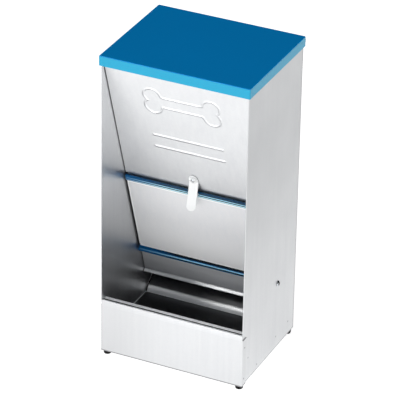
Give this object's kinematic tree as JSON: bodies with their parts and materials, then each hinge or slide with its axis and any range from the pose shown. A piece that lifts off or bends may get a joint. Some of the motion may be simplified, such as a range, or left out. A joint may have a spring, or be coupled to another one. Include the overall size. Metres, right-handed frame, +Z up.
{
  "type": "dog hopper feeder",
  "caption": "Tall sheet-metal dog hopper feeder with a rear-hinged painted lid, sloping front, open feed trough, drop-down flap with plastic edgings and a sprung latch.",
  "frame": {"origin": "centre of the overall box at floor level, under the soles of the feet", "axes": "+Z up, -Y towards the open trough (front), +X to the right in a view of the front"},
  "size_m": [0.285, 0.2416, 0.6],
  "materials": {
    "galvanised_steel": "smooth galvanised sheet, satin",
    "lid_enamel": "smooth blue enamel",
    "blue_edging": "extruded blue plastic with fine grooves",
    "white_nylon": "moulded white nylon",
    "black_rubber": "moulded rubber",
    "zinc_fastener": "bright zinc plate"
  },
  "bodies": {
    "cabinet": {"left_side_panel": "galvanised_steel", "right_side_panel": "galvanised_steel", "back_panel": "galvanised_steel", "front_skirt": "galvanised_steel", "feed_tray": "galvanised_steel", "hopper_front_panel": "galvanised_steel", "flap_pivot_rod": "zinc_fastener", "pivot_spacer_left": "blue_edging", "pivot_spacer_right": "blue_edging", "pivot_cap_left": "zinc_fastener", "pivot_cap_right": "zinc_fastener", "latch_mount": "white_nylon", "latch_rivet": "zinc_fastener", "hinge_leaf_body": "galvanised_steel", "hinge_rod": "zinc_fastener", "body_hinge_rivet_1": "zinc_fastener", "body_hinge_rivet_2": "zinc_fastener", "body_hinge_rivet_3": "zinc_fastener", "body_hinge_rivet_4": "zinc_fastener", "foot_front_left": "black_rubber", "foot_front_right": "black_rubber", "foot_rear_left": "black_rubber", "foot_rear_right": "black_rubber", "foot_screw_front_left": "zinc_fastener", "foot_screw_front_right": "zinc_fastener", "foot_screw_rear_left": "zinc_fastener", "foot_screw_rear_right": "zinc_fastener", "foot_nut_front_left": "zinc_fastener", "foot_nut_front_right": "zinc_fastener", "foot_nut_rear_left": "zinc_fastener", "foot_nut_rear_right": "zinc_fastener"},
    "lid": {"lid": "lid_enamel", "hinge_leaf_lid": "galvanised_steel", "lid_hinge_rivet_1": "zinc_fastener", "lid_hinge_rivet_2": "zinc_fastener", "lid_hinge_rivet_3": "zinc_fastener", "lid_hinge_rivet_4": "zinc_fastener"},
    "flap": {"flap_panel": "galvanised_steel", "flap_upper_trim": "blue_edging", "flap_lower_trim": "blue_edging"},
    "latch": {"latch_tongue": "white_nylon"}
  },
  "joints": [
    {"name": "lid_hinge", "type": "hinge", "parent": "cabinet", "child": "lid", "pos_m": [0, 0.11685, 0.5885], "axis": [-1, 0, 0], "range_deg": [0, 110]},
    {"name": "flap_swing", "type": "hinge", "parent": "cabinet", "child": "flap", "pos_m": [0, 0.03165, 0.143], "axis": [1, 0, 0], "range_deg": [0, 81.7], "deforming": ["latch_tongue"]},
    {"name": "latch_flex", "type": "hinge", "parent": "cabinet", "child": "latch", "pos_m": [0, -0.03249, 0.34509], "axis": [-1, 0, 0], "range_deg": [0, 25], "stiffness_Nm_per_rad": 0.4}
  ]
}
